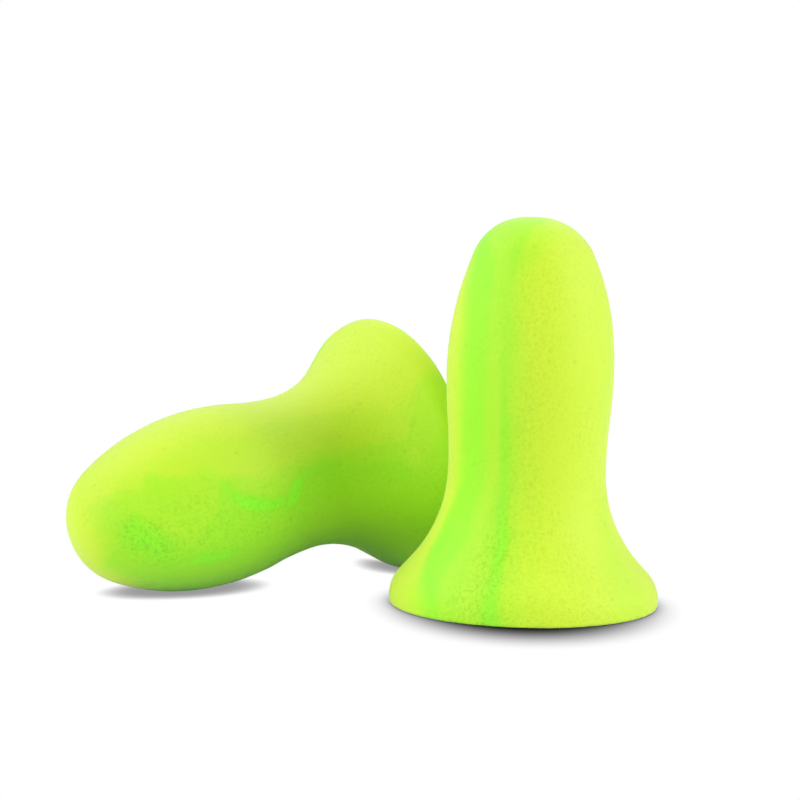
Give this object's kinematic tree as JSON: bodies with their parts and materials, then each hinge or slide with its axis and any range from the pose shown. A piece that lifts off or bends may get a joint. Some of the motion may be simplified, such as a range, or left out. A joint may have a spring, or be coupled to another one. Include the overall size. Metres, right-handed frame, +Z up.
{
  "type": "foam ear plugs",
  "caption": "Bell-shaped soft foam ear plugs that shut out noise, each with a rounded nose, a slight waist and a wide flat foot; they stand and lie side by side.",
  "frame": {"origin": "centre of the standing plug's flat foot, on the surface the plugs rest on", "axes": "+Z up along the standing plug's axis, towards its nose; -Y towards the viewer; -X towards the lying plug's nose"},
  "size_m": [0.0383, 0.0287, 0.025],
  "materials": {
    "marbled_foam": "soft open-cell foam with a fine skin, matt, lime yellow marbled with brighter green"
  },
  "bodies": {
    "standing_plug": {"standing_plug": "marbled_foam"},
    "lying_plug": {"lying_plug": "marbled_foam"}
  },
  "joints": [
    {"name": "lying_plug_lift", "type": "slide", "parent": "standing_plug", "child": "lying_plug", "axis": [0, 0, 1], "range_m": [0, 0.03]}
  ]
}
